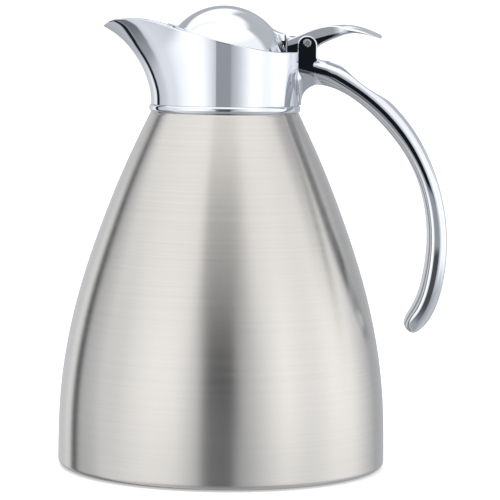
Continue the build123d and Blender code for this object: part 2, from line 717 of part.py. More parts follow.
with BuildPart() as lid_gasket:
    with BuildSketch(Plane.XZ):
        with BuildLine():
            Polyline(
                (PLUG_CORE_RADIUS, PLUG_BOTTOM_Z),
                (GASKET_CORE_RADIUS, PLUG_BOTTOM_Z),
                (GASKET_CORE_RADIUS, GASKET_LOW_Z),
                (GASKET_RADIUS, GASKET_LOW_Z),
                (GASKET_RADIUS, GASKET_HIGH_Z),
                (GASKET_CORE_RADIUS, PLUG_SHOULDER_Z),
                (PLUG_CORE_RADIUS, PLUG_SHOULDER_Z),
                close=True,
            )
        make_face()
    revolve(axis=Axis.Z)
lid_gasket.part.label = "lid_gasket"
export_step(lid_gasket.part, "parts/lid_gasket.step")
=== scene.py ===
"""Looks of the vacuum coffee pot: mirror chrome, brushed steel and black seals, in a soft studio."""

import json
from math import radians, sin, tan, pi

import bpy
import numpy as np
from mathutils import Matrix, Vector


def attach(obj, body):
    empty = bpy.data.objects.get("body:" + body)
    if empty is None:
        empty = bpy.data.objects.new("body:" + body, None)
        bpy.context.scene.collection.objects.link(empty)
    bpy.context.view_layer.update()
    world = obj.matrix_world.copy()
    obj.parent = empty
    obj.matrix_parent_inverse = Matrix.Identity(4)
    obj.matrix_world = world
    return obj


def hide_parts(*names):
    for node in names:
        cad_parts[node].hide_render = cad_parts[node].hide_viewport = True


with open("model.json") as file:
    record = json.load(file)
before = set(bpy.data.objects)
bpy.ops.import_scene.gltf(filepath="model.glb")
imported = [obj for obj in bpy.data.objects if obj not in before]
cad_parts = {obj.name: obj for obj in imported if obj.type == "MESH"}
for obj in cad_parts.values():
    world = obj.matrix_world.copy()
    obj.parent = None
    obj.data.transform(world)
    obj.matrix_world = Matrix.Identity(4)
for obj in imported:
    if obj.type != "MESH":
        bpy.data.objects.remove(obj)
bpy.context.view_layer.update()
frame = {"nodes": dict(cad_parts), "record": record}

# Every size below is in millimetres; meshes are scaled to metres when they are made.
MM = 0.001

# ---------------------------------------------------------------- curves


class Curve:
    """A cubic spline through rows of values, over the length along their first two columns.

    With by_first it runs over the first column alone. An end with no slope given doesn't bend.
    """

    def __init__(self, rows, slopes=(None, None), by_first=False):
        rows = np.array(rows, float)
        if by_first:
            self.knots = rows[:, 0]
            self.values = rows[:, 1:]
        else:
            steps = np.hypot(*np.diff(rows[:, :2], axis=0).T)
            self.knots = np.concatenate([[0], np.cumsum(steps)])
            self.values = rows
        self.length = self.knots[-1]
        gaps = np.diff(self.knots)
        count = len(self.knots)
        system = np.zeros((count, count))
        right = np.zeros((count, self.values.shape[1]))
        rises = np.diff(self.values, axis=0) / gaps[:, None]
        for i in range(1, count - 1):
            system[i, i - 1 : i + 2] = gaps[i - 1], 2 * (gaps[i - 1] + gaps[i]), gaps[i]
            right[i] = 6 * (rises[i] - rises[i - 1])
        system[0, 0] = system[-1, -1] = 1
        if slopes[0] is not None:
            system[0, :2] = 2 * gaps[0], gaps[0]
            right[0] = 6 * (rises[0] - slopes[0])
        if slopes[1] is not None:
            system[-1, -2:] = gaps[-1], 2 * gaps[-1]
            right[-1] = 6 * (slopes[1] - rises[-1])
        self.bends = np.linalg.solve(system, right)

    def at(self, place, order=0):
        """Values, or their first derivatives, at places along the curve; straight beyond its ends."""
        place = np.asarray(place, float)
        inside = np.clip(place, self.knots[0], self.knots[-1])
        i = np.clip(np.searchsorted(self.knots, inside) - 1, 0, len(self.knots) - 2)
        gap = (self.knots[i + 1] - self.knots[i])[..., None]
        b = (inside - self.knots[i])[..., None] / gap
        a = 1 - b
        low, high = self.values[i], self.values[i + 1]
        slope = (high - low) / gap
        low_bend, high_bend = self.bends[i], self.bends[i + 1]
        slope = slope + gap / 6 * ((3 * b**2 - 1) * high_bend - (3 * a**2 - 1) * low_bend)
        if order:
            return slope
        value = a * low + b * high
        value = value + gap**2 / 6 * ((a**3 - a) * low_bend + (b**3 - b) * high_bend)
        return value + (place - inside)[..., None] * slope


def smooth_step(value, low, high):
    """0 at low, 1 at high and smooth between; high may be the lower of the two."""
    share = np.clip((value - low) / (high - low), 0, 1)
    return share * share * (3 - 2 * share)


# ---------------------------------------------------------------- meshes


def make_mesh(name, vertices, faces, material, normals=None, sharp=None):
    """An object from points in millimetres; edges turning by more than sharp degrees stay sharp."""
    mesh = bpy.data.meshes.new(name)
    faces = faces.tolist() if hasattr(faces, "tolist") else faces
    mesh.from_pydata((np.asarray(vertices) * MM).tolist(), [], faces)
    mesh.shade_smooth()
    if normals is not None:
        mesh.normals_split_custom_set_from_vertices(np.asarray(normals).tolist())
    if sharp is not None:
        mesh.set_sharp_from_angle(angle=radians(sharp))
    mesh.materials.append(material)
    piece = bpy.data.objects.new(name, mesh)
    bpy.context.scene.collection.objects.link(piece)
    return piece


def torus_faces(rows, columns):
    """Quads over a grid that closes on itself both ways."""
    row, column = np.meshgrid(np.arange(rows), np.arange(columns), indexing="ij")
    next_row = (row + 1) % rows
    next_column = (column + 1) % columns
    corners = [(row, column), (row, next_column), (next_row, next_column), (next_row, column)]
    return np.stack([r * columns + c for r, c in corners], -1).reshape(-1, 4)


def revolve(name, profile, material, turns):
    """A closed ring from a closed half section of (radius, height) points, about Z."""
    profile = np.array(profile, float)
    angle = np.arange(turns) * 2 * pi / turns
    radius = profile[:, 0][:, None]
    height = np.broadcast_to(profile[:, 1][:, None], (len(profile), turns))
    points = np.stack([radius * np.cos(angle), radius * np.sin(angle), height], -1).reshape(-1, 3)
    return make_mesh(name, points, torus_faces(len(profile), turns), material, sharp=35)


def arc(centre, radius, start, end, count):
    """Points of an arc in a half section; angles in degrees from outwards, turning up."""
    angle = np.radians(np.linspace(start, end, count))
    return [(centre[0] + radius * np.cos(t), centre[1] + radius * np.sin(t)) for t in angle]


def line(start, end, count):
    """Points from start up to, but without, end."""
    share = np.arange(count)[:, None] / count
    return list(np.array(start) + share * (np.array(end) - np.array(start)))


def gradient(field, points, reach=0.01):
    """The field's slope at each point, from its values a little to either side."""
    slopes = []
    for axis in range(3):
        step = np.zeros(3)
        step[axis] = reach
        slopes.append((field(points + step) - field(points - step)) / (2 * reach))
    return np.stack(slopes, -1)


# Points handled at once where a whole array would take too much memory
BATCH = 200_000
# Side of the coarse cells that find where a surface is, in fine steps, and how much of their own
# size they may be off it
COARSE_RATIO = 4
COARSE_MARGIN = 1.15


def sample_field(field, low, high, step):
    """The field on a grid: coarse far from the surface, and exact near it."""
    coarse_count = np.ceil((high - low) / (step * COARSE_RATIO)).astype(int)
    middle = (COARSE_RATIO - 1) / 2
    axes = [low[i] + (np.arange(coarse_count[i]) * COARSE_RATIO + middle) * step for i in range(3)]
    coarse = field(np.stack(np.meshgrid(*axes, indexing="ij"), -1).reshape(-1, 3))
    values = coarse.reshape(coarse_count)
    for axis in range(3):
        values = np.repeat(values, COARSE_RATIO, axis=axis)
    near = np.argwhere(np.abs(values) < step * COARSE_RATIO * COARSE_MARGIN)
    found = np.empty(len(near))
    for start in range(0, len(near), BATCH):
        part = slice(start, start + BATCH)
        found[part] = field(low + near[part] * step)
    values[tuple(near.T)] = found
    return values


def cell_faces(inside, index):
    """Quads between the cells round each grid edge that crosses the surface, facing outwards."""
    cell_count = index.shape
    faces = []
    for axis in range(3):
        one, two = [(1, 2), (2, 0), (0, 1)][axis]
        ahead = np.moveaxis(inside, axis, 0)
        change = np.moveaxis(ahead[1:].astype(int) - ahead[:-1].astype(int), 0, axis)
        edges = np.argwhere(change != 0)
        edges = edges[(edges[:, one] > 0) & (edges[:, two] > 0)]
        edges = edges[(edges[:, one] < cell_count[one]) & (edges[:, two] < cell_count[two])]
        quads = []
        for back_one, back_two in ((1, 1), (0, 1), (0, 0), (1, 0)):
            cell = edges.copy()
            cell[:, one] -= back_one
            cell[:, two] -= back_two
            quads.append(index[tuple(cell.T)])
        quads = np.stack(quads, -1)
        leaving = change[tuple(edges.T)] < 0
        quads[~leaving] = quads[~leaving][:, ::-1]
        faces.append(quads)
    return np.concatenate(faces)


def settle(field, points, limit, rounds=4, flattest=0.05):
    """Points moved onto the surface along the field's slope, by at most the limit on each axis."""
    start_points = points.copy()
    for turn in range(rounds):
        value = field(points)
        if turn % 2 == 0:
            slope = gradient(field, points)
            size = np.maximum((slope**2).sum(1), flattest)
        points = points - (value / size)[:, None] * slope
        points = start_points + np.clip(points - start_points, -limit, limit)
    return points


def solid_from_field(name, field, low, high, step, material):
    """The closed surface where a distance-like field is zero, with the field's own normals."""
    low, high = np.array(low, float), np.array(high, float)
    inside = sample_field(field, low, high, step) < 0
    cell_count = np.array(inside.shape) - 1
    total = np.zeros(cell_count, int)
    for x in (0, 1):
        for y in (0, 1):
            for z in (0, 1):
                total += inside[x : x + cell_count[0], y : y + cell_count[1], z : z + cell_count[2]]
    cells = np.argwhere((total > 0) & (total < 8))
    index = np.full(cell_count, -1)
    index[tuple(cells.T)] = np.arange(len(cells))
    points = settle(field, low + (cells + 0.5) * step, limit=step * 0.9)
    normals = gradient(field, points)
    normals /= np.maximum(np.linalg.norm(normals, axis=1), 1e-9)[:, None]
    return make_mesh(name, points, cell_faces(inside, index), material, normals=normals)


# ---------------------------------------------------------------- materials


class Nodes:
    """Short calls that add nodes to a material's or world's tree and join them."""

    def __init__(self, tree):
        self.tree = tree
        tree.nodes.clear()

    def add(self, kind, **settings):
        node = self.tree.nodes.new(kind)
        for name, value in settings.items():
            setattr(node, name, value)
        return node

    def join(self, source, target):
        self.tree.links.new(source, target)

    def feed(self, socket, value):
        """Give a socket another node's output, or a plain value."""
        if hasattr(value, "is_linked"):
            self.join(value, socket)
        else:
            socket.default_value = value

    def math(self, operation, *values):
        node = self.add("ShaderNodeMath", operation=operation)
        for socket, value in zip(node.inputs, values):
            self.feed(socket, value)
        return node.outputs[0]

    def times(self, *factors):
        product = factors[0]
        for factor in factors[1:]:
            product = self.math("MULTIPLY", product, factor)
        return product

    def mix(self, factor, first, second):
        """First where the factor is 0 and second where it is 1; colours may leave out their alpha."""
        node = self.add("ShaderNodeMix", data_type="RGBA")
        self.feed(node.inputs[0], factor)
        for socket, colour in ((node.inputs[6], first), (node.inputs[7], second)):
            self.feed(socket, (*colour, 1) if isinstance(colour, tuple) else colour)
        return node.outputs[2]

    def step(self, value, low, high):
        """0 below low, 1 above high and smooth between; high may be the lower of the two."""
        node = self.add("ShaderNodeMapRange", interpolation_type="SMOOTHSTEP")
        if low > high:
            low, high = high, low
            node.inputs[3].default_value, node.inputs[4].default_value = 1, 0
        self.join(value, node.inputs[0])
        node.inputs[1].default_value = low
        node.inputs[2].default_value = high
        return node.outputs[0]

    def ramp(self, value, stops):
        """Colours by a value; the first stop is at 0 and the last at 1, as on a new ramp."""
        node = self.add("ShaderNodeValToRGB")
        self.join(value, node.inputs[0])
        elements = node.color_ramp.elements
        for place, _ in stops[1:-1]:
            elements.new(place)
        for element, (_, colour) in zip(elements, stops):
            element.color = (*colour, 1)
        return node.outputs[0]

    def noise(self, scale, stretch=(1, 1, 1), detail=2.0, roughness=0.5):
        """Noise in the object's own coordinates, so it stays on a piece that moves."""
        coordinates = self.add("ShaderNodeTexCoord")
        mapping = self.add("ShaderNodeMapping")
        mapping.inputs["Scale"].default_value = stretch
        texture = self.add("ShaderNodeTexNoise")
        texture.inputs["Scale"].default_value = scale
        texture.inputs["Detail"].default_value = detail
        texture.inputs["Roughness"].default_value = roughness
        self.join(coordinates.outputs["Object"], mapping.inputs["Vector"])
        self.join(mapping.outputs["Vector"], texture.inputs["Vector"])
        return texture.outputs["Fac"]

    def scale(self, value, low, high):
        """A noise's usual range, 0.3 to 0.7, stretched to run from low to high."""
        node = self.add("ShaderNodeMapRange")
        self.join(value, node.inputs[0])
        node.inputs[1].default_value = 0.3
        node.inputs[2].default_value = 0.7
        node.inputs[3].default_value = low
        node.inputs[4].default_value = high
        return node.outputs[0]

    def bump(self, height, strength, distance):
        node = self.add("ShaderNodeBump")
        node.inputs["Strength"].default_value = strength
        node.inputs["Distance"].default_value = distance
        self.join(height, node.inputs["Height"])
        return node.outputs["Normal"]


def principled(name):
    """A new material with its nodes and its shader."""
    material = bpy.data.materials.new(name)
    material.use_nodes = True
    nodes = Nodes(material.node_tree)
    output = nodes.add("ShaderNodeOutputMaterial")
    shader = nodes.add("ShaderNodeBsdfPrincipled")
    nodes.join(shader.outputs[0], output.inputs[0])
    return material, nodes, shader


def chrome_material():
    """Mirror plating with a faint film and wiping marks."""
    material, nodes, shader = principled("polished_chrome")
    shader.inputs["Metallic"].default_value = 1
    film = nodes.noise(40, detail=3)
    tint = nodes.mix(nodes.scale(film, 0, 1), (0.70, 0.725, 0.765), (0.74, 0.76, 0.79))
    nodes.join(tint, shader.inputs["Base Color"])
    wipe = nodes.noise(90, stretch=(1, 1, 3), detail=4, roughness=0.6)
    nodes.join(nodes.scale(wipe, 0.015, 0.05), shader.inputs["Roughness"])
    return material


def brushed_material():
    """Steel brushed round the pot's axis: fine and broad lines in its colour, gloss and relief."""
    material, nodes, shader = principled("brushed_steel")
    shader.inputs["Metallic"].default_value = 1
    shader.inputs["Anisotropic"].default_value = 0.8
    shader.inputs["Anisotropic Rotation"].default_value = 0.25
    tangent = nodes.add("ShaderNodeTangent", direction_type="RADIAL", axis="Z")
    nodes.join(tangent.outputs[0], shader.inputs["Tangent"])
    fine = nodes.noise(1, stretch=(14, 14, 5200), detail=2, roughness=0.6)
    broad = nodes.noise(1, stretch=(6, 6, 700), detail=3, roughness=0.6)
    lines = nodes.math("ADD", nodes.math("MULTIPLY", fine, 0.65), nodes.math("MULTIPLY", broad, 0.35))
    colour = nodes.mix(nodes.scale(lines, 0, 1), (0.590, 0.568, 0.538), (0.640, 0.617, 0.584))
    nodes.join(colour, shader.inputs["Base Color"])
    nodes.join(nodes.scale(lines, 0.235, 0.275), shader.inputs["Roughness"])
    nodes.join(nodes.bump(lines, 0.04, 0.00002), shader.inputs["Normal"])
    return material


def plain_steel_material():
    """Drawn or pressed steel as it comes, with a fine grain."""
    material, nodes, shader = principled("plain_steel")
    shader.inputs["Metallic"].default_value = 1
    grain = nodes.noise(600, detail=3)
    colour = nodes.mix(nodes.scale(grain, 0, 1), (0.52, 0.52, 0.52), (0.62, 0.62, 0.61))
    nodes.join(colour, shader.inputs["Base Color"])
    nodes.join(nodes.scale(grain, 0.16, 0.28), shader.inputs["Roughness"])
    return material


def moulded_material(name, dark, light, roughness, grain_size, depth):
    """A moulded black part: fine grain in its colour, gloss and relief."""
    material, nodes, shader = principled(name)
    grain = nodes.noise(1 / grain_size, detail=3, roughness=0.6)
    nodes.join(nodes.mix(nodes.scale(grain, 0, 1), dark, light), shader.inputs["Base Color"])
    nodes.join(nodes.scale(grain, roughness - 0.06, roughness + 0.06), shader.inputs["Roughness"])
    nodes.join(nodes.bump(grain, 0.25, depth), shader.inputs["Normal"])
    return material


chrome = chrome_material()
brushed_steel = brushed_material()
plain_steel = plain_steel_material()
black_plastic = moulded_material("black_plastic", (0.012,) * 3, (0.022,) * 3, 0.38, 0.0006, 0.00003)
silicone = moulded_material("silicone", (0.018,) * 3, (0.028,) * 3, 0.5, 0.0015, 0.00002)
black_rubber = moulded_material("black_rubber", (0.02,) * 3, (0.035,) * 3, 0.7, 0.0004, 0.00005)
SLOT_MATERIALS = {
    "chrome": chrome,
    "brushed_steel": brushed_steel,
    "plain_steel": plain_steel,
    "black_plastic": black_plastic,
    "silicone": silicone,
    "black_rubber": black_rubber,
}
for part in frame["record"]["subparts"]:
    node = frame["nodes"][part["node"]]
    node.data.materials.clear()
    node.data.materials.append(SLOT_MATERIALS[part["material_slot"]])


def stand_for(piece, node, body):
    """Show a piece in place of a CAD node, on that node's body."""
    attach(piece, body)
    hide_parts(node)


# ---------------------------------------------------------------- vessel

SHOULDER_Z = 162.3
SHOULDER_RADIUS = 33.6
SHELL_WALL = 0.8
FOOT_Z = 0.6
FOOT_CORNER = 2.4
FOOT_CENTRE = (72.4, 3.0)
ROLL_RADIUS = 69.5
OUTLINE = Curve(
    [
        (FOOT_CENTRE[1], 74.8),
        (29.5, 74.2),
        (57.3, 70.8),
        (85.1, 64.2),
        (112.7, 55.0),
        (140.1, 44.0),
        (SHOULDER_Z, SHOULDER_RADIUS),
    ],
    slopes=(0, None),
    by_first=True,
)
# The shoulder's edge is cut back by this much down the wall and inwards
SHOULDER_BEVEL = (0.3, 0.2)
NECK_RADIUS = 30.2
LIP_Z = 171.4
INNER_WALL_TOP_Z = 161.0
INNER_NECK_LOW_Z = 161.2


def inset_wall(inset, low, high, count):
    """Points up the vessel's outline, moved inwards."""
    heights = np.linspace(low, high, count)
    radius = OUTLINE.at(heights)[:, 0]
    slope = OUTLINE.at(heights, 1)[:, 0]
    size = np.sqrt(1 + slope**2)
    return list(zip(radius - inset / size, heights + inset * slope / size))


def shell_profile():
    """Half section of the outer shell: the foot, the wall, the neck, and the same on the inside."""
    neck_inside = NECK_RADIUS - SHELL_WALL
    bevel_down, bevel_in = SHOULDER_BEVEL
    points = line((ROLL_RADIUS, FOOT_Z), (FOOT_CENTRE[0], FOOT_Z), count=4)
    points += arc(FOOT_CENTRE, FOOT_CORNER, -90, 0, count=16)[:-1]
    points += inset_wall(0, FOOT_CENTRE[1], SHOULDER_Z - bevel_down, count=150)
    points += line((SHOULDER_RADIUS - bevel_in, SHOULDER_Z), (NECK_RADIUS, SHOULDER_Z), count=3)
    points += line((NECK_RADIUS, SHOULDER_Z), (NECK_RADIUS, LIP_Z), count=4)
    points += line((NECK_RADIUS, LIP_Z), (neck_inside, LIP_Z), count=2)
    points += line((neck_inside, LIP_Z), (neck_inside, INNER_NECK_LOW_Z), count=4)
    points += inset_wall(SHELL_WALL, FOOT_CENTRE[1], INNER_WALL_TOP_Z, count=60)[::-1]
    points += arc(FOOT_CENTRE, FOOT_CORNER - SHELL_WALL, 0, -90, count=8)[1:]
    return points + [(ROLL_RADIUS, FOOT_Z + SHELL_WALL)]


outer_shell = revolve("outer_shell_wall", shell_profile(), brushed_steel, turns=330)
stand_for(outer_shell, "outer_shell", "pot")

# ---------------------------------------------------------------- collar

COLLAR_RADIUS = 33.7
COLLAR_WALL = 1.8
COLLAR_FOOT_Z = 165.5
FOOT_STEP = 0.1
RING_INNER_RADIUS = 31.5
RING_OUTER_RADIUS = 33.4
BEAD_Z = 163.95
BEAD_HALF_HEIGHT = 1.62
BEAD_DEPTH = 0.95
BEAD_SETBACK = 0.15
BEAD_STEPS = 12
# The collar is round below the first height and has its full point above the second
ROUND_TOP_Z = 172.0
POINTED_Z = 194.6
# How far a Bezier curve's handles reach for a quarter circle, and how much less at the point
CIRCLE_PULL = 0.552
POINT_PULL_LOSS = 0.27
REACH = Curve(
    [
        (165.0, COLLAR_RADIUS),
        (169.0, 33.8),
        (173.4, 34.6),
        (179.1, 36.5),
        (184.7, 39.3),
        (189.8, 42.8),
        (194.6, 47.2),
        (198.0, 51.6),
        (200.5, 56.0),
        (203.0, 61.4),
    ],
    slopes=(0, None),
    by_first=True,
)
RIM = Curve(
    [
        (-60.0, 197.4),
        (-56.0, 200.4),
        (-52.1, 203.0),
        (-46.0, 204.3),
        (-37.0, 204.0),
        (-24.7, 200.9),
        (-7.2, 196.0),
        (10.2, 192.1),
        (24.0, 190.0),
        (36.0, 190.0),
    ],
    by_first=True,
)
LIP_HEIGHT = 0.4
RIM_SEARCH = np.linspace(185.0, 206.0, 900)
COLLAR_COLUMNS = 480
# Columns stand closer together at the spout's tip and at the back by this share of a turn
COLUMN_CROWDING = 0.035


def plan_point(turn, reach, radius, height):
    """Plan of the collar at one height; turn 0 to 1 runs from the tip, round the handle side and back.

    The side's pull gives the pointed front the round back's curvature where the two meet.
    """
    rise = smooth_step(height, ROUND_TOP_Z, POINTED_Z)
    tip_pull = CIRCLE_PULL - POINT_PULL_LOSS * rise
    side_pull = radius / reach * np.sqrt(2 * (1 - tip_pull) / 3)
    side = np.where(turn < 0.5, 1.0, -1.0)
    half = np.where(turn < 0.5, turn, 1 - turn) * 2
    t = np.clip(half / 0.5, 0, 1)
    front_x = -reach * ((1 - t) ** 3 + 3 * t * (1 - t) ** 2 + 3 * t**2 * (1 - t) * side_pull)
    front_y = radius * (3 * t * (1 - t) ** 2 * tip_pull + 3 * t**2 * (1 - t) + t**3)
    angle = np.clip(half - 0.5, 0, 0.5) * pi
    back_x = radius * np.sin(angle)
    back_y = radius * np.cos(angle)
    x = np.where(half < 0.5, front_x, back_x)
    y = np.where(half < 0.5, front_y, back_y)
    return x, -side * y


def collar_wall(turn, height, inset):
    """A point of the collar's outer face, or of its inner face when inset is its wall."""
    reach = REACH.at(height)[..., 0]
    slope = REACH.at(height, 1)[..., 0]
    reach = reach - inset * np.sqrt(1 + slope**2)
    x, y = plan_point(turn, reach, COLLAR_RADIUS - inset, height)
    return np.stack([x, y, height], -1)


def rim_heights(turn, inset):
    """Where each upright line of a face meets the rim."""
    heights = np.broadcast_to(RIM_SEARCH[:, None], (len(RIM_SEARCH), len(turn)))
    points = collar_wall(turn[None, :], heights, inset)
    over = heights - (RIM.at(points[..., 0])[..., 0] - LIP_HEIGHT)
    first = np.argmax(over > 0, axis=0)
    column = np.arange(len(turn))
    before, after = over[first - 1, column], over[first, column]
    share = before / (before - after)
    return RIM_SEARCH[first - 1] + share * (RIM_SEARCH[1] - RIM_SEARCH[0])


def round_ring(turn, radius, height):
    """One level ring of points below the collar's pointed part."""
    heights = np.full(len(turn), height)
    x, y = plan_point(turn, radius, radius, heights)
    return np.stack([x, y, heights], -1)


def collar_mesh():
    """The bead ring, the outer face, the rounded rim and the inner face, as one closed tube."""
    turn = np.arange(COLLAR_COLUMNS) / COLLAR_COLUMNS
    turn = turn - COLUMN_CROWDING * np.sin(4 * pi * turn) / pi
    rings = [round_ring(turn, radius, SHOULDER_Z) for radius in (RING_INNER_RADIUS, RING_OUTER_RADIUS)]
    for step in range(BEAD_STEPS + 1):
        angle = pi * (step / BEAD_STEPS)
        radius = COLLAR_RADIUS - BEAD_SETBACK + BEAD_DEPTH * np.sin(angle)
        rings.append(round_ring(turn, radius, BEAD_Z - BEAD_HALF_HEIGHT * np.cos(angle)))
    outer_foot = COLLAR_FOOT_Z + FOOT_STEP
    outer_top = rim_heights(turn, 0)
    inner_top = rim_heights(turn, COLLAR_WALL)
    for share in np.linspace(0, 1, 110):
        rings.append(collar_wall(turn, outer_foot + share * (outer_top - outer_foot), 0))
    outer_edge = rings[-1]
    inner_edge = collar_wall(turn, inner_top, COLLAR_WALL)
    middle = (outer_edge + inner_edge) / 2
    across = (outer_edge - inner_edge) / 2
    up = outer_edge - rings[-2]
    up /= np.linalg.norm(up, axis=1)[:, None]
    for angle in np.radians(np.arange(15, 180, 15)):
        rings.append(middle + np.cos(angle) * across + np.sin(angle) * up * LIP_HEIGHT)
    for share in np.linspace(1, 0, 60):
        height = COLLAR_FOOT_Z + share * (inner_top - COLLAR_FOOT_Z)
        rings.append(collar_wall(turn, height, COLLAR_WALL))
    rings.append(round_ring(turn, RING_INNER_RADIUS, COLLAR_FOOT_Z))
    faces = torus_faces(len(rings), COLLAR_COLUMNS)
    return make_mesh("spout_collar_casting", np.concatenate(rings), faces, chrome, sharp=32)


spout_collar = collar_mesh()
stand_for(spout_collar, "spout_collar", "pot")

# ---------------------------------------------------------------- rounded bars and plates


def plate(edge, y, half_width, corner):
    """A flat-sided solid over a plan, with rounded edges; edge is the distance outside the plan."""
    first = edge + corner
    second = np.abs(y) - half_width + corner
    outside = np.hypot(np.maximum(first, 0), np.maximum(second, 0))
    return np.minimum(np.maximum(first, second), 0) + outside - corner


def blend_union(first, second, size):
    """The smaller of two distances, rounded where they meet."""
    share = np.clip(0.5 + 0.5 * (second - first) / size, 0, 1)
    return second + share * (first - second) - size * share * (1 - share)


def blend_cut(first, second, size):
    """The larger of two distances, rounded where they meet."""
    return -blend_union(-first, -second, size)


def box_plan(x, z, low, high):
    """Distance outside an upright rectangle."""
    across = np.abs(x - (low[0] + high[0]) / 2) - (high[0] - low[0]) / 2
    along = np.abs(z - (low[1] + high[1]) / 2) - (high[1] - low[1]) / 2
    outside = np.hypot(np.maximum(across, 0), np.maximum(along, 0))
    return outside + np.minimum(np.maximum(across, along), 0)


def polygon_plan(x, z, corners):
    """Signed distance outside a polygon."""
    corners = np.array(corners, float)
    best = np.full(x.shape, 1e9)
    odd = np.zeros(x.shape, bool)
    for (x1, z1), (x2, z2) in zip(corners, np.roll(corners, -1, axis=0)):
        dx, dz = x2 - x1, z2 - z1
        share = np.clip(((x - x1) * dx + (z - z1) * dz) / (dx * dx + dz * dz), 0, 1)
        best = np.minimum(best, np.hypot(x - x1 - share * dx, z - z1 - share * dz))
        crosses = (z1 > z) != (z2 > z)
        if dz:
            odd ^= crosses & (x < x1 + dx * (z - z1) / dz)
    return np.where(odd, -best, best)


def along_bar(curve, x, z):
    """Place along a bar's centreline, offset to its left, and how far the point lies past an end."""
    samples = np.linspace(0, curve.length, 40)
    centres = curve.at(samples)[:, :2]
    place = np.empty(x.shape)
    for start in range(0, len(x), 100_000):
        part = slice(start, start + 100_000)
        gaps = (x[part, None] - centres[:, 0]) ** 2 + (z[part, None] - centres[:, 1]) ** 2
        place[part] = samples[np.argmin(gaps, axis=1)]
    for _ in range(3):
        centre = curve.at(place)[:, :2]
        slope = curve.at(place, 1)[:, :2]
        size = (slope**2).sum(1)
        move = ((x - centre[:, 0]) * slope[:, 0] + (z - centre[:, 1]) * slope[:, 1]) / size
        place = np.clip(place + np.clip(move, -4, 4), 0, curve.length)
    centre = curve.at(place)[:, :2]
    slope = curve.at(place, 1)[:, :2]
    slope = slope / np.sqrt((slope**2).sum(1))[:, None]
    dx, dz = x - centre[:, 0], z - centre[:, 1]
    offset = dz * slope[:, 0] - dx * slope[:, 1]
    past = dx * slope[:, 0] + dz * slope[:, 1]
    past = np.where(place >= curve.length, past, place - curve.length)
    return place, offset, past


# ---------------------------------------------------------------- handle

# Centre of the section, half depth, half width, and how far the side's flat reaches out and in,
# from the ears to the free end
HANDLE = Curve(
    [
        (37.0, 181.2, 5.8, 8.6, 2.0, 0.1),
        (46.5, 180.0, 5.5, 8.5, 0.9, 0.5),
        (55.6, 176.4, 5.1, 8.4, 0.1, 1.35),
        (67.4, 168.1, 4.9, 8.3, 0.05, 1.4),
        (77.8, 157.9, 4.9, 8.4, 0.0, 1.4),
        (86.3, 146.2, 4.5, 8.7, -0.05, 1.35),
        (92.6, 132.9, 4.15, 9.2, -0.05, 1.1),
        (96.6, 117.5, 4.17, 9.6, 0.3, 1.0),
        (97.7, 103.0, 4.35, 9.7, 0.5, 1.1),
        (96.4, 88.5, 4.6, 9.3, 0.5, 1.1),
        (93.3, 76.4, 4.75, 8.5, 0.4, 1.1),
        (90.3, 70.4, 4.75, 7.7, 0.5, 1.2),
        (87.3, 66.3, 4.1, 6.8, 0.9, 1.5),
        (84.9, 63.4, 2.8, 5.8, 1.2, 1.3),
    ]
)
END_ROUNDING = 2.4
# Hinge: the pin's place, and the holes for it in the handle and in what turns on it
PIN = (37.1, 194.1)
HANDLE_HOLE_RADIUS = 1.56
TURNING_HOLE_RADIUS = 1.55
# Ears: two upright plates that share an outline, over a root that meets the collar
EAR_INNER = 5.8
EAR_CENTRE_X = 37.0
EAR_RADIUS = 4.6
EAR_LOW_Z = 184.0
EAR_TOP_Z = 197.3
ROOT_LOW = (26.0, 181.2)
ROOT_HIGH = (EAR_CENTRE_X, 189.6)
ROOT_BLEND = 2.2
# Edges: sharp on the ears, round on the bar, and mixed over this distance
EAR_CORNER = 0.6
CORNER_REACH = 0.8
EARS_START_Z = (184.5, 186.5)
EARS_END_X = (41.0, 46.0)
SADDLE_CORNER_GAIN = 3
# Draft of the sides: from the root's middle at first, and then from the bar's own
FLAT_DRAFT = tan(radians(4.5))
END_DRAFT = tan(radians(1.2))
ROOT_MIDDLE_Z = 181.0
BAR_DRAFT_X = (44.0, 50.0)
DRAFT_CHANGE = (62, 92)
# Crease: a line under the ears, below which the sides lean in
CREASE = 0.26
CREASE_START = (33.0, 182.3)
CREASE_FALL = 0.245
CREASE_END_X = (42.0, 52.0)
# Web under the root, with an arch for its lower edge
WEB_CENTRE = (43.5, 166.0)
WEB_RADIUS = 9.4
WEB_LOW_RISE = 0.6
WEB_TOP_Z = 186.0
WEB_START_X = 26.0
WEB_END_X = 50.0
WEB_HALF_WIDTH = 8.3
WEB_CORNER = 1.6
WEB_STEP = 0.3
WEB_STEP_DEPTH = 1.5
WEB_LEAN = 0.01
WEB_NARROWING = 0.12
WEB_NARROWS_X = 39.5
WEB_BLEND = 0.4
# Slot between the ears, and the scoop on the handle's top
SADDLE_Z = 186.3
SLOT_START_X = 28.0
SLOT_END_X = 46.0
SLOT_BLEND = 0.5
SCOOP_CENTRE = (102.1, 229.1)
SCOOP_RADIUS = 66.6
SCOOP_BLEND = 0.8
# Band of the collar's own surface that the handle runs out into
BAND_LOW_Z = 166.5
BAND_TOP_Z = 189.6
BAND_BLEND = 0.35
BAND_BLEND_GAIN = 3.0
BAND_BLEND_Z = (182.5, 177.0)
COLLAR_OVERLAP = 0.02


def drill_pin(body, x, z, radius):
    """The body with a hole across it for the hinge pin."""
    return np.maximum(body, radius - np.hypot(x - PIN[0], z - PIN[1]))


